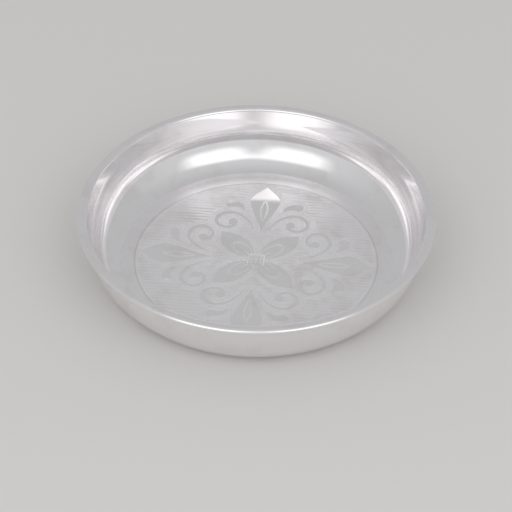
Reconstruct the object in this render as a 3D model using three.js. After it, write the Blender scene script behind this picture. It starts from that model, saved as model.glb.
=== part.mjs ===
// A round offering plate, spun from one sheet of metal. The edge of the sheet is curled
// outwards over a flattened wire, which stiffens the rim. Millimetres, +Z up, with the
// origin at the centre of the flat underside.
import * as THREE from 'three';

// Overall sizes
const rimDiameter = 254; // over the rolled rim
const plateHeight = 45; // flat underside to the crown of the rim

// The sheet, from the rim down to the floor
const sheetThickness = 0.9;
const bellyRadius = 37.2; // inside radius of the long upper curve of the wall
const bellyTurn = 40; // degrees that the upper curve leans in from upright
const coveRadius = 21.7; // inside radius of the tighter curve down to the floor

// The rolled rim and its wire
const rimWidth = 7.3; // across the oval rim
const rimHeight = 4.8; // crown to underside of the oval rim
const curlGap = 0.9; // open seam between the cut edge of the curl and the wall
const wireClearance = 0.3; // all round the wire, inside the curl

// Facets
const stepsRound = 72; // round the plate's axis, a multiple of four
const coveSteps = 6;
const bellySteps = 5;
const rimQuarterSteps = 4; // in each quarter of the oval
const wireSteps = 12;

// Worked out from the sizes above. Places are [radius from the axis, height].
const wallInsideRadius = rimDiameter / 2 - rimWidth; // flush with the rim's inner edge
const bellyLean = THREE.MathUtils.degToRad(bellyTurn);
const floorRadius = wallInsideRadius - bellyRadius * (1 - Math.cos(bellyLean))
  - coveRadius * Math.cos(bellyLean); // where the flat floor ends and the cove starts
const coveCentre = [floorRadius, sheetThickness + coveRadius];
const bellyCentre = [
  wallInsideRadius - bellyRadius,
  coveCentre[1] + (bellyRadius - coveRadius) * Math.sin(bellyLean),
];
const rimCentre = [(rimDiameter - rimWidth) / 2, plateHeight - rimHeight / 2];
const curlEnd = -THREE.MathUtils.radToDeg(
  Math.acos((sheetThickness + curlGap - rimWidth / 2) / (rimWidth / 2)),
); // where the curl stops, in degrees round the oval

// Points along an arc of an oval, angles in degrees from straight outwards.
function ovalArc([radius, height], halfWidth, halfHeight, from, to, steps) {
  const points = [];
  for (let step = 0; step <= steps; step += 1) {
    const angle = THREE.MathUtils.degToRad(from + ((to - from) * step) / steps);
    points.push([radius + halfWidth * Math.cos(angle), height + halfHeight * Math.sin(angle)]);
  }
  return points;
}

function roundArc(centre, arcRadius, from, to, steps) {
  return ovalArc(centre, arcRadius, arcRadius, from, to, steps);
}

// The rim's oval, sunk by a depth from its outer skin.
function rimArc(depth, from, to, steps) {
  return ovalArc(rimCentre, rimWidth / 2 - depth, rimHeight / 2 - depth, from, to, steps);
}

// One face of the sheet, from the centre of the floor to the cut edge of the curl. Depth
// is how far it lies behind the face that shows inside the plate. Where two arcs meet,
// the second one leaves out the point that they share.
function sheetFace(depth) {
  return [
    [0, sheetThickness - depth],
    ...roundArc(coveCentre, coveRadius + depth, -90, -bellyTurn, coveSteps),
    ...roundArc(bellyCentre, bellyRadius + depth, -bellyTurn, 0, bellySteps).slice(1),
    ...rimArc(depth, 180, 90, rimQuarterSteps),
    ...rimArc(depth, 90, 0, rimQuarterSteps).slice(1),
    ...rimArc(depth, 0, curlEnd, rimQuarterSteps + 1).slice(1),
  ];
}

// Turns a closed profile round the plate's axis. Profiles run anticlockwise, with the
// radius to the right and the height up, so that the faces point outwards.
function turned(name, profile, color, roughness) {
  const points = profile.map(([radius, height]) => new THREE.Vector2(radius, height));
  const geometry = new THREE.LatheGeometry(points, stepsRound);
  geometry.rotateX(Math.PI / 2);
  const material = new THREE.MeshStandardMaterial({ color, roughness, metalness: 1 });
  const mesh = new THREE.Mesh(geometry, material);
  mesh.name = name;
  return mesh;
}

const dishProfile = [...sheetFace(sheetThickness), ...sheetFace(0).reverse()];
const wireProfile = rimArc(sheetThickness + wireClearance, 0, 360, wireSteps);
wireProfile[wireSteps] = wireProfile[0];

const offeringPlate = new THREE.Group();
offeringPlate.add(
  turned('dish', dishProfile, 0xdcdad7, 0.12),
  turned('rim_wire', wireProfile, 0xb9a56a, 0.35),
);

export default offeringPlate;
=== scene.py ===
import math

import bmesh
import bpy
import numpy as np
from mathutils import Matrix, Vector, geometry


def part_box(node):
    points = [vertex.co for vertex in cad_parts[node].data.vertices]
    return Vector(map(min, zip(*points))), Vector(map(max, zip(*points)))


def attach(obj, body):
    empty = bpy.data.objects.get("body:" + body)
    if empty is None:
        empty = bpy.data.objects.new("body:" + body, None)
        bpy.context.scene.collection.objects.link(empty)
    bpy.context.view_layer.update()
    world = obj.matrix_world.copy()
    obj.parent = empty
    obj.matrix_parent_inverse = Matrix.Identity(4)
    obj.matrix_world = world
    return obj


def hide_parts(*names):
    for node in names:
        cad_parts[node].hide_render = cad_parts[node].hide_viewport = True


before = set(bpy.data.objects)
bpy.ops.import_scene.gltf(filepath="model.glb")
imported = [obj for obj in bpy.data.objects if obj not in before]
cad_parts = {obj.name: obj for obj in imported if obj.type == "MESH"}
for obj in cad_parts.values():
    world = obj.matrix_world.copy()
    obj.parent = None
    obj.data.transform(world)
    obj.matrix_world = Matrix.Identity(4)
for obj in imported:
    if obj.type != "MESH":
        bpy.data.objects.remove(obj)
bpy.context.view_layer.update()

mm = 0.001
micron = mm / 1000
tiny = 1e-9  # keeps divisions clear of zero


def toLinear(hexColour):
    # sRGB hex to the linear values that Blender's colour sockets take
    channels = [int(hexColour[i:i + 2], 16) / 255 for i in (1, 3, 5)]
    return [c / 12.92 if c <= 0.04045 else ((c + 0.055) / 1.055) ** 2.4 for c in channels] + [1.0]


# Where a colour Mix node keeps its factor, its two colours and its result
mixFactor, mixUnder, mixOver, mixResult = 0, 6, 7, 2


def addNode(tree, kind, settings=None, links=None):
    # settings: attribute names, or input names and numbers; links: input to output socket
    node = tree.nodes.new(kind)
    for key, value in (settings or {}).items():
        if isinstance(key, str) and hasattr(node, key):
            setattr(node, key, value)
        else:
            node.inputs[key].default_value = value
    for key, socket in (links or {}).items():
        tree.links.new(socket, node.inputs[key])
    return node


camera = {
    "azimuth": 5.7,  # degrees round the plate from the -Y side
    "elevation": 40.2,
    "roll": 0.57,  # the horizon dips slightly
    "distance": 2.032,
    "lens": 202.1,
    "sensorWidth": 36,
    "nearLimit": 0.05,
    "aimBelowRim": 29.3 * mm,  # across the view, so that the plate sits high in the frame
}

room = {
    "floor": "#edebe9",
    "floorRoughness": 0.9,
    "floorHalf": 3.0,  # half the side of the square of paper
    "backdrop": 0.525,  # brightness of the plain grey room
    "glow": 0.18,  # how much brighter the room is on the camera's side
    "glowElevation": 10,
    "glowStart": -0.4,  # cosine of the angle from its middle at which the glow starts
    "tint": (0.985, 0.99, 1.0, 1.0),  # a trace of daylight blue
    "mirrorBounces": 12,  # the walls mirror each other many times
    "allBounces": 16,
    "softboxDistance": 1.3,
    "softEdge": 0.75,  # share of a softbox's half width over which it fades out
    # azimuth is seen from the plate: 0 is away from the camera, positive to its right
    "softboxes": [
        {"azimuth": -151, "elevation": 42, "width": 1.36, "height": 1.34, "radiance": 0.62},
        {"azimuth": 148, "elevation": 42, "width": 1.30, "height": 1.22, "radiance": 0.63},
    ],
}


def viewDirections():
    # the camera's backward, right and level-forward directions
    a, e = math.radians(camera["azimuth"]), math.radians(camera["elevation"])
    back = Vector((math.sin(a) * math.cos(e), -math.cos(a) * math.cos(e), math.sin(e)))
    right = Vector((math.cos(a), math.sin(a), 0))
    return back, right, Vector((-math.sin(a), math.cos(a), 0))


def roomDirection(azimuth, elevation):
    _, right, forward = viewDirections()
    a, e = math.radians(azimuth), math.radians(elevation)
    level = right * math.sin(a) + forward * math.cos(a)
    return level * math.cos(e) + Vector((0, 0, math.sin(e)))


def makeCamera(rimHeight):
    back, right, _ = viewDirections()
    up = back.cross(right)
    target = Vector((0, 0, rimHeight)) - up * camera["aimBelowRim"]
    roll = Matrix.Rotation(math.radians(camera["roll"]), 3, "Z")
    turn = Matrix((right, up, back)).transposed() @ roll
    data = bpy.data.cameras.new("camera")
    data.lens = camera["lens"]
    data.sensor_width = camera["sensorWidth"]
    data.clip_start = camera["nearLimit"]
    eye = bpy.data.objects.new("camera", data)
    eye.matrix_world = Matrix.Translation(target + back * camera["distance"]) @ turn.to_4x4()
    bpy.context.collection.objects.link(eye)
    bpy.context.scene.camera = eye
    print("camera placed")


def fadeSoftbox(light):
    # the cloth of a softbox is brightest in the middle and fades towards its edges
    light.use_nodes = True
    tree = light.node_tree
    shine = tree.nodes["Emission"]
    across = addNode(tree, "ShaderNodeNewGeometry").outputs["Parametric"]
    parts = addNode(tree, "ShaderNodeSeparateXYZ", None, {"Vector": across})
    fades = []
    edge, full = 0.5, 0.5 - room["softEdge"] / 2  # as shares of the width, from the middle
    for axis in "XY":
        middle = addNode(tree, "ShaderNodeMath", {"operation": "SUBTRACT", 1: 0.5},
                         {0: parts.outputs[axis]})
        away = addNode(tree, "ShaderNodeMath", {"operation": "ABSOLUTE"}, {0: middle.outputs[0]})
        fade = addNode(tree, "ShaderNodeMapRange", {
            "interpolation_type": "SMOOTHSTEP", "From Min": edge, "From Max": full,
            "To Min": 0.0, "To Max": 1.0}, {"Value": away.outputs[0]})
        fades.append(fade.outputs["Result"])
    both = addNode(tree, "ShaderNodeMath", {"operation": "MULTIPLY"}, {0: fades[0], 1: fades[1]})
    tree.links.new(both.outputs[0], shine.inputs["Strength"])


def makeRoom():
    world = bpy.data.worlds.new("room")
    world.use_nodes = True
    tree = world.node_tree
    tree.nodes.clear()
    place = addNode(tree, "ShaderNodeTexCoord")
    toCamera = roomDirection(180, room["glowElevation"])
    facing = addNode(tree, "ShaderNodeVectorMath", {"operation": "DOT_PRODUCT", 1: toCamera},
                     {0: place.outputs["Generated"]})
    glow = addNode(tree, "ShaderNodeMapRange", {
        "interpolation_type": "SMOOTHSTEP", "From Min": room["glowStart"], "From Max": 1.0,
        "To Min": room["backdrop"], "To Max": room["backdrop"] + room["glow"],
    }, {"Value": facing.outputs["Value"]})
    shade = addNode(tree, "ShaderNodeBackground", {"Color": room["tint"]},
                    {"Strength": glow.outputs["Result"]})
    addNode(tree, "ShaderNodeOutputWorld", None, {"Surface": shade.outputs["Background"]})
    bpy.context.scene.world = world

    for number, box in enumerate(room["softboxes"]):
        light = bpy.data.lights.new(f"softbox{number}", "AREA")
        light.shape = "RECTANGLE"
        light.size, light.size_y = box["width"], box["height"]
        # an area light's power for an even radiance over its face
        light.energy = box["radiance"] * math.pi * box["width"] * box["height"]
        fadeSoftbox(light)
        lamp = bpy.data.objects.new(light.name, light)
        away = roomDirection(box["azimuth"], box["elevation"])
        lamp.matrix_world = (Matrix.Translation(away * room["softboxDistance"])
                             @ away.to_track_quat("Z", "Y").to_matrix().to_4x4())
        bpy.context.collection.objects.link(lamp)

    side = room["floorHalf"]
    floor = bpy.data.meshes.new("floor")
    floor.from_pydata([(-side, -side, 0), (side, -side, 0), (side, side, 0), (-side, side, 0)],
                      [], [(0, 1, 2, 3)])
    floorObject = bpy.data.objects.new("floor", floor)
    bpy.context.collection.objects.link(floorObject)
    # matt paper: an even pale ground with no reflections
    material = bpy.data.materials.new("paleMattPaper")
    material.use_nodes = True
    paper = material.node_tree.nodes["Principled BSDF"]
    paper.inputs["Base Color"].default_value = toLinear(room["floor"])
    paper.inputs["Roughness"].default_value = room["floorRoughness"]
    floor.materials.append(material)
    bpy.context.scene.view_settings.view_transform = "Standard"
    bpy.context.scene.cycles.glossy_bounces = room["mirrorBounces"]
    bpy.context.scene.cycles.max_bounces = room["allBounces"]
    print("room made:", len(room["softboxes"]), "softboxes")


# Pitches in millimetres, heights in thousandths of one, which is all that polished metal needs.
# A range is where a texture of 0 to 1 starts to count and where it counts in full.
silver = {
    "buffed": "#f5f3f4",
    "ground": "#fcfafb",
    "cut": "#fffefe",
    "dull": "#dedad6",  # thin tarnish
    "dirtAndShade": "#6f6a66",  # dark colour in the cuts: dirt that stays there when the plate is wiped, and painted shade
    "buffedRoughness": (0.06, 0.12),  # between clean and cloudy
    "groundRoughness": (0.4, 0.54),
    "cutRoughness": (0.24, 0.36),
    "wipedRoughness": (0.26, 0.36),
    "cloudSize": 24,
    "cloudDetail": 5.0,
    "cloudGrain": 0.6,
    "cloudRange": (0.38, 0.72),
    "tarnishRange": (0.5, 0.8),
    "tarnish": 0.55,  # how far the worst clouds turn dull
    "ringPitch": 3.1,  # the spinner's marks are finer than 1, drawn coarser so that they show
    "ringHeight": 2,
    "ringWander": {"Distortion": 3.0, "Detail": 2.0, "Detail Scale": 0.4},
    "ripplePitch": 33,  # soft waves left by the buffing wheel
    "rippleHeight": 35,
    "rippleDetail": 1.0,
    "hairPitch": 0.9,  # wiping scratches, drawn coarser too
    "hairHeight": 0.6,
    "hairDetail": 2.0,
    "hairAngle": 24,  # degrees; keeps the noise's own grid off the hairs' direction
    "hairStretch": 0.06,  # width of a scratch as a share of its length
}

brass = {
    "clean": "#cfae62",
    "brown": "#8a6b3a",
    "roughness": (0.3, 0.5),
    "cloudSize": 9,
    "cloudDetail": 4.0,
    "drawnPitch": 0.4,
    "drawnHeight": 2,
    "drawnWander": 1.0,
}


def waveScale(pitch):
    # a wave texture repeats every pi / (10 * scale) metres
    return math.pi / (10 * pitch * mm)


def startMetal(name, colour):
    material = bpy.data.materials.new(name)
    material.use_nodes = True
    shader = material.node_tree.nodes["Principled BSDF"]
    shader.inputs["Metallic"].default_value = 1.0
    shader.inputs["Base Color"].default_value = toLinear(colour)
    place = addNode(material.node_tree, "ShaderNodeTexCoord").outputs["Object"]
    return material, material.node_tree, shader, place


def silverMaterial(name, colour, roughness, ringHeight):
    material, tree, shader, place = startMetal(name, colour)
    cloud = addNode(tree, "ShaderNodeTexNoise", {
        "Scale": 1 / (silver["cloudSize"] * mm), "Detail": silver["cloudDetail"],
        "Roughness": silver["cloudGrain"]}, {"Vector": place})
    start, full = silver["cloudRange"]
    haze = addNode(tree, "ShaderNodeMapRange", {
        "From Min": start, "From Max": full, "To Min": roughness[0], "To Max": roughness[1],
    }, {"Value": cloud.outputs["Fac"]})
    tree.links.new(haze.outputs["Result"], shader.inputs["Roughness"])
    # tarnish gathers in the same clouds; at the bottom of the cuts the colour darkens with dirt and
    # painted shade, more where a cut is deeper
    start, full = silver["tarnishRange"]
    tarnish = addNode(tree, "ShaderNodeMapRange", {
        "From Min": start, "From Max": full, "To Min": 0.0, "To Max": silver["tarnish"],
    }, {"Value": cloud.outputs["Fac"]})
    aged = addNode(tree, "ShaderNodeMix", {
        "data_type": "RGBA", mixUnder: toLinear(colour), mixOver: toLinear(silver["dull"])},
        {mixFactor: tarnish.outputs["Result"]})
    depth = addNode(tree, "ShaderNodeAttribute", {"attribute_name": "cutDirtAndShade"})
    patches = addNode(tree, "ShaderNodeMath", {"operation": "MULTIPLY"},
                      {0: depth.outputs["Fac"], 1: cloud.outputs["Fac"]})
    dirtyAndShaded = addNode(tree, "ShaderNodeMix", {"data_type": "RGBA", mixOver: toLinear(silver["dirtAndShade"])},
                    {mixFactor: patches.outputs[0], mixUnder: aged.outputs[mixResult]})
    tree.links.new(dirtyAndShaded.outputs[mixResult], shader.inputs["Base Color"])
    # marks that run round the plate, soft waves and straight hairlines, as heights in microns
    rings = addNode(tree, "ShaderNodeTexWave", {
        "wave_type": "RINGS", "rings_direction": "Z", "Scale": waveScale(silver["ringPitch"]),
        **silver["ringWander"]}, {"Vector": place})
    ripple = addNode(tree, "ShaderNodeTexNoise", {
        "Scale": 1 / (silver["ripplePitch"] * mm), "Detail": silver["rippleDetail"]}, {"Vector": place})
    stretch = addNode(tree, "ShaderNodeMapping", {
        "Rotation": (0, 0, math.radians(silver["hairAngle"])),
        "Scale": (silver["hairStretch"], 1, 1)}, {"Vector": place})
    hairs = addNode(tree, "ShaderNodeTexNoise", {
        "Scale": 1 / (silver["hairPitch"] * mm), "Detail": silver["hairDetail"],
    }, {"Vector": stretch.outputs["Vector"]})
    marks = (rings, ringHeight), (ripple, silver["rippleHeight"]), (hairs, silver["hairHeight"])
    height = None
    for mark, size in marks:
        links = {0: mark.outputs["Fac"]}
        if height:
            links[2] = height.outputs[0]
        height = addNode(tree, "ShaderNodeMath", {"operation": "MULTIPLY_ADD", 1: size, 2: 0.0}, links)
    bump = addNode(tree, "ShaderNodeBump", {"Strength": 1.0, "Distance": micron},
                   {"Height": height.outputs[0]})
    tree.links.new(bump.outputs["Normal"], shader.inputs["Normal"])
    return material


def brassMaterial():
    material, tree, shader, place = startMetal("drawnBrassWire", brass["clean"])
    cloud = addNode(tree, "ShaderNodeTexNoise", {
        "Scale": 1 / (brass["cloudSize"] * mm), "Detail": brass["cloudDetail"]}, {"Vector": place})
    low, high = brass["roughness"]
    haze = addNode(tree, "ShaderNodeMapRange", {"To Min": low, "To Max": high},
                   {"Value": cloud.outputs["Fac"]})
    tree.links.new(haze.outputs["Result"], shader.inputs["Roughness"])
    aged = addNode(tree, "ShaderNodeMix", {
        "data_type": "RGBA", mixUnder: toLinear(brass["clean"]), mixOver: toLinear(brass["brown"])},
        {mixFactor: cloud.outputs["Fac"]})
    tree.links.new(aged.outputs[mixResult], shader.inputs["Base Color"])
    # the die's lines run along the wire, so they are rings round the plate
    lines = addNode(tree, "ShaderNodeTexWave", {
        "wave_type": "RINGS", "rings_direction": "Z", "Scale": waveScale(brass["drawnPitch"]),
        "Distortion": brass["drawnWander"]}, {"Vector": place})
    bump = addNode(tree, "ShaderNodeBump", {"Strength": 1.0, "Distance": brass["drawnHeight"] * micron},
                   {"Height": lines.outputs["Fac"]})
    tree.links.new(bump.outputs["Normal"], shader.inputs["Normal"])
    return material


plate = {
    "sheet": 0.9 * mm,
    "bellyRadius": 37.2 * mm,  # inside radius of the upper curve of the wall
    "bellyTurn": 40,  # degrees
    "coveRadius": 21.7 * mm,
    "rimWidth": 7.3 * mm,
    "rimHeight": 4.8 * mm,
    "curlGap": 0.9 * mm,
    "stepsRound": 360,
    "frontSteps": (16, 16, 14),  # along the cove, the belly and each quarter of the rim
    "backSteps": (12, 12, 8),
    "wireSteps": 32,
    "sharpAngle": 8,  # degrees between faces above which an edge of a cut stays crisp
    "weld": 0.002 * mm,  # points nearer to each other than this are one
    "engravedRadius": 86.2 * mm,
    "wipedReach": 3 * mm,  # how far the satin of the flat ring runs up the cove
}


def ovalArc(centre, halfWidth, halfHeight, start, end, steps):
    angles = np.radians(np.linspace(start, end, steps + 1))
    return [(centre[0] + halfWidth * math.cos(a), centre[1] + halfHeight * math.sin(a))
            for a in angles]


def plateSizes():
    # the centres of the cove, the belly and the rim, and where the curl stops in degrees
    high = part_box("dish")[1]
    rimRadius, height = high.x, high.z
    lean = math.radians(plate["bellyTurn"])
    wall = rimRadius - plate["rimWidth"]
    floorEdge = (wall - plate["bellyRadius"] * (1 - math.cos(lean))
                 - plate["coveRadius"] * math.cos(lean))
    coveCentre = (floorEdge, plate["sheet"] + plate["coveRadius"])
    bellyCentre = (wall - plate["bellyRadius"],
                   coveCentre[1] + (plate["bellyRadius"] - plate["coveRadius"]) * math.sin(lean))
    rimCentre = (rimRadius - plate["rimWidth"] / 2, height - plate["rimHeight"] / 2)
    half = plate["rimWidth"] / 2
    curlEnd = -math.degrees(math.acos((plate["sheet"] + plate["curlGap"] - half) / half))
    return coveCentre, bellyCentre, rimCentre, curlEnd


def sheetFace(depth, coveSteps, bellySteps, rimSteps):
    # one face of the sheet as (radius, height) points, from the floor's edge to the curl's end
    coveCentre, bellyCentre, rimCentre, curlEnd = plateSizes()
    turn = plate["bellyTurn"]
    cove, belly = plate["coveRadius"] + depth, plate["bellyRadius"] + depth
    points = ovalArc(coveCentre, cove, cove, -90, -turn, coveSteps)
    points += ovalArc(bellyCentre, belly, belly, -turn, 0, bellySteps)[1:]
    halfWidth, halfHeight = plate["rimWidth"] / 2 - depth, plate["rimHeight"] / 2 - depth
    points += ovalArc(rimCentre, halfWidth, halfHeight, 180, 90, rimSteps)
    points += ovalArc(rimCentre, halfWidth, halfHeight, 90, 0, rimSteps)[1:]
    return points + ovalArc(rimCentre, halfWidth, halfHeight, 0, curlEnd, rimSteps)[1:]


def spinTree():
    tree = bpy.data.node_groups.new("spinProfile", "GeometryNodeTree")
    face = tree.interface
    face.new_socket("Profile", in_out="INPUT", socket_type="NodeSocketGeometry")
    face.new_socket("Former Radius", in_out="INPUT", socket_type="NodeSocketFloat")
    face.new_socket("Steps Round", in_out="INPUT", socket_type="NodeSocketInt")
    face.new_socket("Metal", in_out="INPUT", socket_type="NodeSocketMaterial")
    face.new_socket("Spun", in_out="OUTPUT", socket_type="NodeSocketGeometry")
    given = addNode(tree, "NodeGroupInput")
    path = addNode(tree, "GeometryNodeCurvePrimitiveCircle", None,
                   {"Resolution": given.outputs["Steps Round"], "Radius": given.outputs["Former Radius"]})
    profile = addNode(tree, "GeometryNodeMeshToCurve", None, {"Mesh": given.outputs["Profile"]})
    swept = addNode(tree, "GeometryNodeCurveToMesh", None,
                    {"Curve": path.outputs["Curve"], "Profile Curve": profile.outputs["Curve"]})
    welded = addNode(tree, "GeometryNodeMergeByDistance", {"Distance": plate["weld"]},
                     {"Geometry": swept.outputs["Mesh"]})
    smooth = addNode(tree, "GeometryNodeSetShadeSmooth", None, {"Geometry": welded.outputs["Geometry"]})
    real = addNode(tree, "GeometryNodeRealizeInstances", None, {"Geometry": smooth.outputs["Geometry"]})
    metal = addNode(tree, "GeometryNodeSetMaterial", None,
                    {"Geometry": real.outputs["Geometry"], "Material": given.outputs["Metal"]})
    addNode(tree, "NodeGroupOutput", None, {"Spun": metal.outputs["Geometry"]})
    return tree


def spin(name, profile, closed, metal):
    # turns a profile of (radius, height) points round the plate's axis
    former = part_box("dish")[1].x
    mesh = bpy.data.meshes.new(name)
    count = len(profile)
    edges = [(i, (i + 1) % count) for i in range(count if closed else count - 1)]
    # the sweep lays a profile's X outwards from the former and its Y downwards
    mesh.from_pydata([(r - former, -z, 0) for r, z in profile], edges, [])
    piece = bpy.data.objects.new(name, mesh)
    bpy.context.collection.objects.link(piece)
    modifier = piece.modifiers.new("spin", "NODES")
    modifier.node_group = bpy.data.node_groups.get("spinProfile") or spinTree()
    values = {"Former Radius": former, "Steps Round": plate["stepsRound"], "Metal": metal}
    for item in modifier.node_group.interface.items_tree:
        if item.name in values:
            modifier[item.identifier] = values[item.name]
    shown = piece.evaluated_get(bpy.context.evaluated_depsgraph_get())
    made = bpy.data.meshes.new_from_object(shown)
    piece.modifiers.clear()
    piece.data = made
    turnFacesOut(made)
    return piece


def turnFacesOut(mesh):
    shell = bmesh.new()
    shell.from_mesh(mesh)
    bmesh.ops.recalc_face_normals(shell, faces=shell.faces)
    shell.to_mesh(mesh)
    shell.free()


# Sizes in millimetres. One eighth of the pattern is drawn, from the +Y axis round to the
# diagonal towards +X, and the rest is its mirror images.
engraving = {
    "outlineCut": (0.84, 0.17),  # width and depth of the groove round each figure
    "echoCuts": [(1.9, 0.8, 0.09), (3.2, 0.8, 0.13)],  # distance out, width and depth
    "bandDepth": 0.13,  # of the bright bands inside the figures, where they are widest
    "bandSteps": 5,  # points between two points of a scroll's or a leaf's middle
    "rayWidths": (0.5, 1, 0.8, 0.5, 0.15),  # of a ray along its length, as shares of its width
    "hatchStart": 3.9,  # how far from a figure the hatching stops
    "hatchPitch": 3.2,  # the real one's is under 1, too fine to show
    "hatchDepth": 0.17,
    "hatchWander": 0.22,  # how far the hand strays from a straight line
    "wanderTurns": (0.21, 0.8, 0.15),  # radians for each millimetre, each line and by chance
    "hatchPress": (0.2, 0.13),  # how much the depth varies, and radians for each millimetre
    "hatchStep": 0.4,  # spacing of the places where a line looks for figures
    "hatchMark": 5.0,  # spacing of the points that bend it
    "border": 1.1,  # plain strip inside the field's edge
    "edgeCut": (1.7, 0.08),  # width and depth of the groove round the field
    "dirtAndShadeRound": 0.4,  # how much dirt and painted shade that groove keeps, and below it the cuts inside it
    "dirtAndShadeInCuts": 0.09,
    "bossHalf": 5.3,  # the small square that the petals spring from, and its pyramids
    "bossCells": 3,
    "bossDepth": 0.3,
    "bossBevel": 0.5,
    "seed": 3,
}

# A bud on the axis, as half an outline from its foot to its tip: across, up.
budOutline = [(0, 31.3), (1.2, 36.5), (2.7, 41.2), (5.4, 48), (8.3, 56), (10.6, 63.5), (10.8, 67.9),
              (8.7, 72.5), (4.8, 77.4), (0, 82.6)]
# A petal on the diagonal, as half an outline, from the boss to its tip: along, across.
petalFoot = [(8.6, 0)]
petalOutline = [(5.8, 2.8), (7.4, 4.2), (10.7, 6.6), (16, 8.3), (21.5, 8.8), (27.5, 8.2), (33.2, 5.9),
                (40.4, 0)]
# The scroll and the leaf beside the bud, as the middle of a band: across, up, width.
scrollBand = [(5.2, 34.2, 0.5), (7.2, 38.4, 1.2), (10.2, 43.2, 1.7), (14.8, 48, 2.1), (21.7, 51.2, 2.5),
              (28.6, 49.8, 2.8), (33, 44.4, 3), (32.4, 38.2, 2.8), (27.4, 34.4, 2.5), (22.2, 34.9, 2.6),
              (19.4, 37.6, 2.9), (19.6, 40, 2.6)]
scrollEye = (21, 40.6, 3.4)  # across, up, radius
leafBand = [(13.8, 55.2, 0.4), (15.8, 58.2, 2.6), (18.4, 60.3, 4.5), (21.6, 61.3, 5.9),
            (25, 61.3, 6.6)]
leafEye = (25.1, 61.3, 3.35)
# Bright bands cut into the figures, in the same way as the scroll.
budBand = [(0, 43.6, 0.6), (1.1, 48, 1.2), (2, 53, 1.6), (2.3, 58, 1.7), (1.7, 63, 1.6),
           (0, 67.6, 1.3)]
petalBand = [(6.9, 2.6, 0.5), (9.6, 3.7, 0.9), (13.5, 4.6, 1.4), (17.7, 4.7, 1.8), (21.3, 3.8, 2),
             (23.8, 2, 2.1), (24.6, 0, 2.1)]
# Rays round the boss: degrees from the axis, where each starts and stops, and its width.
rays = [(0, 6.2, 14, 1.7), (45, 8.6, 14, 1.1)]


def smoothLine(points, stepsEach=6):
    # a Catmull-Rom curve through points of any number of values
    p = np.array(points, float)
    p = np.vstack([2 * p[0] - p[1], p, 2 * p[-1] - p[-2]])
    line = []
    for before, start, end, after in zip(p, p[1:], p[2:], p[3:]):
        for t in np.arange(stepsEach) / stepsEach:
            line.append(0.5 * (2 * start + (end - before) * t
                               + (2 * before - 5 * start + 4 * end - after) * t * t
                               + (3 * start - before - 3 * end + after) * t ** 3))
    return np.array(line + [p[-2]])


def leftOf(line):
    # unit vectors to the left of each point of a line
    along = np.gradient(line, axis=0)
    along /= np.linalg.norm(along, axis=1)[:, None] + tiny
    return np.stack([-along[:, 1], along[:, 0]], axis=1)


def bandOutline(middle):
    # the edge of a band given by its middle and its widths
    out = leftOf(middle[:, :2]) * middle[:, 2:] / 2
    sides = middle[:, :2] + out, middle[:, :2] - out
    return np.vstack([sides[0], sides[1][::-1], sides[0][:1]])


def circleOutline(eye, steps=24):
    angles = np.linspace(0, 2 * math.pi, steps + 1)
    return np.stack([eye[0] + eye[2] * np.cos(angles), eye[1] + eye[2] * np.sin(angles)], axis=1)


def onDiagonal(line):
    # from along and across the diagonal to across and up the pattern
    line = np.array(line, float)
    along, across = line[:, 0].copy(), line[:, 1].copy()
    line[:, 0] = (along - across) / math.sqrt(2)
    line[:, 1] = (along + across) / math.sqrt(2)
    return line


def polishedFigures():
    # outlines of what is left polished: halves of the bud and of the petal, and whole scrolls
    steps = engraving["bandSteps"]
    petal = np.vstack([onDiagonal(petalFoot), smoothLine(onDiagonal(petalOutline))])
    return [smoothLine(budOutline), petal,
            bandOutline(smoothLine(scrollBand, steps)), circleOutline(scrollEye),
            bandOutline(smoothLine(leafBand, steps)), circleOutline(leafEye)]


def brightBands():
    # the middles of the bright bands, with their widths
    bands = [smoothLine(budBand), smoothLine(onDiagonal(petalBand))]
    for degrees, start, stop, width in rays:
        a = math.radians(degrees)
        widths = width * np.array(engraving["rayWidths"])
        reach = np.linspace(start, stop, len(widths))
        bands.append(np.stack([reach * math.sin(a), reach * math.cos(a), widths], axis=1))
    return bands


def nearestOn(points, line, lotSize=20000):
    # distance from each point to the nearest piece of a line, that piece and the share along it
    start, step = line[:-1, :2], np.diff(line[:, :2], axis=0)
    length = (step ** 2).sum(1) + tiny
    away, piece, share = [], [], []
    for lot in np.array_split(points, len(points) // lotSize + 1):  # in lots, to spare memory
        gap = lot[:, None, :] - start
        along = np.clip((gap * step).sum(2) / length, 0, 1)
        distance = np.sqrt(((gap - along[..., None] * step) ** 2).sum(2))
        pick = distance.argmin(1)
        rows = np.arange(len(lot))
        away.append(distance[rows, pick])
        piece.append(pick)
        share.append(along[rows, pick])
    return np.concatenate(away), np.concatenate(piece), np.concatenate(share)


def isInside(points, outline):
    # a point is inside when an odd number of the outline's sides lie to its right
    inside = np.zeros(len(points), bool)
    for (ax, ay), (bx, by) in zip(outline, np.roll(outline, -1, axis=0)):
        if ay == by:
            continue
        crosses = (points[:, 1] < ay) != (points[:, 1] < by)
        inside ^= crosses & (points[:, 0] < ax + (points[:, 1] - ay) * (bx - ax) / (by - ay))
    return inside


def folded(points, nudge=(0.00004, 0.00009)):
    # every mirror image of the pattern brought back to the eighth that is drawn, and a
    # hair off the lines of symmetry, so that no point lies on the end of a half outline
    flat = np.abs(points)
    return np.stack([flat.min(1), flat.max(1)], axis=1) + nudge


def figureDistance(points, figures):
    # distance outside the nearest figure, and below zero inside one
    here = folded(points)
    nearest = np.full(len(points), np.inf)
    for outline in figures:
        away = nearestOn(here, outline)[0]
        nearest = np.minimum(nearest, np.where(isInside(here, outline), -away, away))
    return nearest


def bandHeight(points, bands):
    # each band is a shallow V, deeper where it is wider
    here = folded(points)
    height = np.zeros(len(points))
    for middle in bands:
        away, piece, share = nearestOn(here, middle)
        width = middle[piece, 2] * (1 - share) + middle[piece + 1, 2] * share
        depth = engraving["bandDepth"] * width / middle[:, 2].max()
        height = np.minimum(height, -depth * np.clip(1 - 2 * away / width, 0, 1))
    return height


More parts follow.
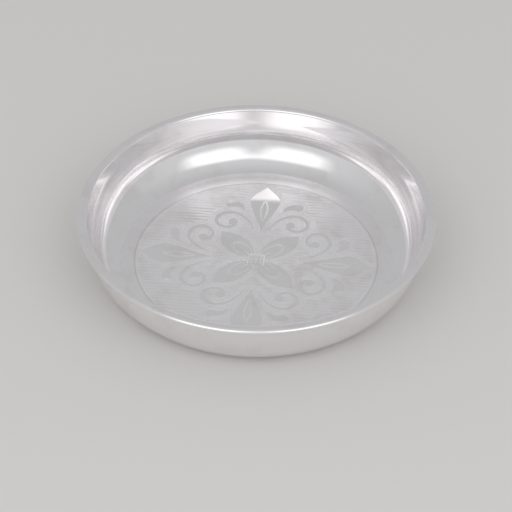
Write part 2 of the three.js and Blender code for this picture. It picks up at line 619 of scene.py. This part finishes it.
def bossHeight(points):
    # small pyramids in a square, sunk below the floor inside a bevel
    half, bevel = engraving["bossHalf"], engraving["bossBevel"]
    cell = 2 * half / engraving["bossCells"]
    reach = np.abs(points).max(1)
    pyramid = 2 * np.abs((points + half) % cell - cell / 2).max(1) / cell
    slope = np.clip((half + bevel - reach) / bevel, 0, 1)
    return -engraving["bossDepth"] * np.where(reach < half, pyramid, slope)


def floorHeight(points, figures, bands):
    # how deep each point lies, from its distance to the figures and the bands
    width, depth = engraving["outlineCut"]
    distances, heights = [0, width / 2, width], [0, -depth, 0]
    for middle, echoWidth, echoDepth in engraving["echoCuts"]:
        distances += [middle - echoWidth / 2, middle, middle + echoWidth / 2]
        heights += [0, -echoDepth, 0]
    height = np.interp(figureDistance(points, figures), distances, heights)
    height[np.abs(points).max(1) < engraving["bossHalf"] + engraving["bossBevel"]] = 0
    return np.minimum(np.minimum(height, bandHeight(points, bands)), bossHeight(points))


def besideLine(line, gap, roundFrom=0.5, roundSteps=5, shortest=1e-6):
    # the line moved sideways, with corners that turn by more than roundFrom opened into arcs
    closed = np.allclose(line[0], line[-1])
    step = np.diff(line, axis=0)
    step = step[np.linalg.norm(step, axis=1) > shortest]
    normals = np.stack([-step[:, 1], step[:, 0]], axis=1) / np.linalg.norm(step, axis=1)[:, None]
    moved = []
    corners = [line[0]] + list(line[0] + np.cumsum(step, axis=0))
    for i, corner in enumerate(corners):
        before = normals[i - 1] if i or closed else normals[0]
        after = normals[i] if i < len(normals) else (normals[0] if closed else normals[-1])
        turn = math.atan2(before[0] * after[1] - before[1] * after[0], float(before @ after))
        if gap * turn < 0 and abs(turn) > roundFrom:
            for a in np.linspace(0, turn, roundSteps):
                out = (before[0] * math.cos(a) - before[1] * math.sin(a),
                       before[0] * math.sin(a) + before[1] * math.cos(a))
                moved.append(corner + gap * np.array(out))
        else:
            middle = before + after
            moved.append(corner + gap * middle / (np.linalg.norm(middle) + tiny))
    return np.array(moved)


def mirrored(line):
    # the eight images of a line
    signs = [(1, 1), (1, -1), (-1, 1), (-1, -1)]
    return [image * sign for image in (line[:, :2], line[:, 1::-1]) for sign in signs]


def wholeOutline(line):
    # a half outline that ends on the axis or on the diagonal is closed by its mirror image
    if np.allclose(line[0], line[-1]):
        return line
    onAxis = np.isclose(line[-1][0], 0)
    other = line * (-1, 1) if onAxis else line[:, ::-1]
    return np.vstack([line, other[::-1][1:]])


def figureGrooves(figures):
    # the edges of the grooves that follow each figure, in all its images
    width = engraving["outlineCut"][0]
    gaps = [0, width / 2, width]
    for middle, echoWidth, _ in engraving["echoCuts"]:
        gaps += [middle - echoWidth / 2, middle, middle + echoWidth / 2]
    lines = []
    for outline in figures:
        whole = wholeOutline(outline)
        area = np.sum(whole[:-1, 0] * whole[1:, 1] - whole[1:, 0] * whole[:-1, 1])
        for gap in gaps:
            lines += mirrored(besideLine(whole, -math.copysign(gap, area)))
    return lines


def bossLines():
    # the edges of the boss's bevel and pyramids
    half, cells = engraving["bossHalf"], engraving["bossCells"]
    outer = half + engraving["bossBevel"]
    square = np.array([(1, 1), (-1, 1), (-1, -1), (1, -1), (1, 1)])
    lines = [square * outer]
    ticks = np.linspace(-half, half, cells + 1)
    for tick in ticks:
        lines += [np.array([(-half, tick), (half, tick)]), np.array([(tick, -half), (tick, half)])]
    cell = half / cells
    for x in ticks[:-1] + cell:
        for y in ticks[:-1] + cell:
            lines += [np.array([(x - cell, y - cell), (x, y), (x + cell, y + cell)]),
                      np.array([(x - cell, y + cell), (x, y), (x + cell, y - cell)])]
    return lines


def hatchStroke(number, y, first, last, phase):
    # one stroke of the graver from first to last, and its depth: none on even lines. It lifts
    # out over a third of the pitch, and strays in full from four times that
    taper = engraving["hatchPitch"] / 3
    marks = np.arange(first + taper, last - taper, engraving["hatchMark"])
    marks = np.concatenate([[first], marks, [last - taper, last]])
    ease = np.clip(np.minimum(marks - first, last - marks) / (4 * taper), 0, 1)
    eachStep, eachLine, byChance = engraving["wanderTurns"]
    swing = np.sin(marks * eachStep + number * eachLine + byChance * phase)
    varied, pressTurn = engraving["hatchPress"]
    press = 1 - varied + varied * np.sin(marks * pressTurn + phase)
    depth = -engraving["hatchDepth"] * (number % 2) * press
    depth[[0, -1]] = 0
    return np.stack([marks, y + engraving["hatchWander"] * ease * swing], axis=1), depth


def hatchLines(figures, bands, field):
    # level lines across the field, broken where they meet a figure; odd ones are the cuts
    reach = field - engraving["border"]
    half = engraving["hatchPitch"] / 2
    chance = np.random.default_rng(engraving["seed"])
    strokes = []
    for number in range(-int(reach / half), int(reach / half) + 1):
        y = number * half
        x = np.arange(-reach, reach, engraving["hatchStep"])
        x = x[np.hypot(x, y) < reach]
        if not len(x):
            continue
        places = np.stack([x, np.full(len(x), y)], axis=1)
        fromBoss = np.abs(places).max(1) - engraving["bossHalf"]
        clear = np.minimum(figureDistance(places, figures), fromBoss) - engraving["hatchStart"]
        for middle in bands:
            clear = np.minimum(clear, nearestOn(folded(places), middle)[0] - middle[:, 2].max())
        edges = np.flatnonzero(np.diff(np.concatenate([[0], clear > 0, [0]]).astype(int)))
        phase = chance.uniform(0, 2 * math.pi)
        for start, stop in zip(edges[::2], edges[1::2]):
            first, last = x[start], x[stop - 1]
            if last - first >= engraving["hatchPitch"]:
                strokes.append(hatchStroke(number, y, first, last, phase))
    return strokes


# The dish's finishes, in the order of its materials
polished, hatchedGround, brightlyCut, wipedRing = range(4)


def engravedFloor(field, stepsRound, allHull=0, nearEnough=1e-4):
    # the floor's points, heights and faces, and each face's finish; allHull asks for
    # triangles up to the outermost points
    figures, bands = polishedFigures(), brightBands()
    places, heights, edges, known = [], [], [], {}

    def addLine(line, depth=None):
        # points to a thousandth of a millimetre are one point
        ids = []
        for i, point in enumerate(line):
            key = (round(point[0], 3), round(point[1], 3))
            if key not in known:
                known[key] = len(places)
                places.append(key)
                heights.append(np.nan if depth is None else depth[i])
            if not ids or ids[-1] != known[key]:
                ids.append(known[key])
        edges.extend(zip(ids, ids[1:]))

    angles = np.arange(stepsRound + 1) * 2 * math.pi / stepsRound
    addLine(np.stack([np.cos(angles), np.sin(angles)], axis=1) * field, np.zeros(stepsRound + 1))
    for middle in bands:
        for line in mirrored(middle) + mirrored(bandOutline(middle)):
            addLine(line)
    for line in figureGrooves(figures) + bossLines():
        addLine(line)
    for line, depth in hatchLines(figures, bands, field):
        addLine(line, depth)
    flat, _, faces, origins, _, _ = geometry.delaunay_2d_cdt(
        [Vector(place) for place in places], edges, [], allHull, nearEnough, True)
    points = np.array([(point.x, point.y) for point in flat])
    height = floorHeight(points, figures, bands)
    for i, origin in enumerate(origins):
        given = [heights[o] for o in origin if not np.isnan(heights[o])]
        if given:
            height[i] = given[0]
    middles = np.array([points[list(face)].mean(0) for face in faces])
    here = folded(middles)
    isCut = np.any([isInside(here, bandOutline(middle)) for middle in bands], axis=0)
    isCut |= np.abs(middles).max(1) < engraving["bossHalf"] + engraving["bossBevel"]
    ground = np.where(figureDistance(middles, figures) < 0, polished, hatchedGround)
    finish = np.where(isCut, brightlyCut, ground)
    print("engraved floor:", len(points), "points,", len(faces), "faces")
    return points, height, faces, finish


def makeDish(buffed, hatched, brightCut, wiped):
    field = plate["engravedRadius"]
    edgeWidth, edgeDepth = (size * mm for size in engraving["edgeCut"])
    near = 0.01 * mm
    show = [(field, plate["sheet"]), (field + edgeWidth / 2, plate["sheet"] - edgeDepth),
            (field + edgeWidth, plate["sheet"])] + sheetFace(0, *plate["frontSteps"])
    back = [(0.0, 0.0)] + sheetFace(plate["sheet"], *plate["backSteps"])
    dish = spin("spunDish", show + back[::-1], False, buffed)
    points, height, faces, finish = engravedFloor(field / mm, plate["stepsRound"])
    shell = bmesh.new()
    shell.from_mesh(dish.data)
    wipedEdge = plateSizes()[0][0] + plate["wipedReach"]
    for face in shell.faces:
        face.smooth = True
        middle = face.calc_center_median()
        if math.hypot(middle.x, middle.y) < wipedEdge and middle.z > plate["sheet"] / 2:
            face.material_index = wipedRing
    rim = [v for v in shell.verts if abs(math.hypot(v.co.x, v.co.y) - field) < near
           and v.co.z > plate["sheet"] - near]
    corners = [shell.verts.new((x * mm, y * mm, plate["sheet"] + z * mm))
               for (x, y), z in zip(points, height)]
    for face, number in zip(faces, finish.tolist()):
        made = shell.faces.new([corners[i] for i in face])
        made.material_index = number
        made.smooth = True
    rim += [v for v in corners if abs(math.hypot(v.co.x, v.co.y) - field) < near]
    bmesh.ops.remove_doubles(shell, verts=rim, dist=near / 2)
    bmesh.ops.recalc_face_normals(shell, faces=shell.faces)
    # dirt and painted shade in the cuts: the deeper a point lies, the darker its colour, most in the
    # groove round the field
    depth = shell.verts.layers.float.new("cutDirtAndShade")
    for v in shell.verts:
        reach = math.hypot(v.co.x, v.co.y)
        share = engraving["dirtAndShadeRound"] if reach > field - near else engraving["dirtAndShadeInCuts"]
        inField = reach < field + edgeWidth and v.co.z > plate["sheet"] / 2
        filled = min(plate["sheet"] - v.co.z, engraving["hatchDepth"] * mm)
        v[depth] = share * filled / edgeDepth if inField else 0.0
    shell.to_mesh(dish.data)
    shell.free()
    for metal in (hatched, brightCut, wiped):
        dish.data.materials.append(metal)
    dish.data.set_sharp_from_angle(angle=math.radians(plate["sharpAngle"]))
    return dish


def makeWire(metal):
    # the wire that the rim is curled over, as a whole smooth ring
    low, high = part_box("rim_wire")
    rimCentre = plateSizes()[2]
    halfWidth, halfHeight = high.x - rimCentre[0], (high.z - low.z) / 2
    profile = ovalArc(rimCentre, halfWidth, halfHeight, 0, 360, plate["wireSteps"])[:-1]
    return spin("rimWire", profile, True, metal)


makeCamera(plateSizes()[2][1])
makeRoom()
# silver plated on brass and buffed on a wheel: clear but slightly soft reflections
buffed = silverMaterial("buffedSilverPlate", silver["buffed"], silver["buffedRoughness"],
                        silver["ringHeight"])
# the hatching breaks the polish up: a pale satin that hides reflections
hatched = silverMaterial("hatchedSilverPlate", silver["ground"], silver["groundRoughness"], 0.0)
# fresh metal left by a polished graver: the lightest and liveliest part
brightCut = silverMaterial("brightCutSilverPlate", silver["cut"], silver["cutRoughness"], 0.0)
# the flat ring outside the field, rubbed by cloths and coins: reflections are there but soft
wiped = silverMaterial("wipedSilverPlate", silver["buffed"], silver["wipedRoughness"], 0.0)
print("silver finishes made")
dish = makeDish(buffed, hatched, brightCut, wiped)
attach(dish, "root")
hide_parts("dish")
print("dish made:", len(dish.data.polygons), "faces")
wire = makeWire(brassMaterial())  # drawn through a die: warm yellow, fine lines along it
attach(wire, "root")
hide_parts("rim_wire")
print("rim wire made:", len(wire.data.polygons), "faces")
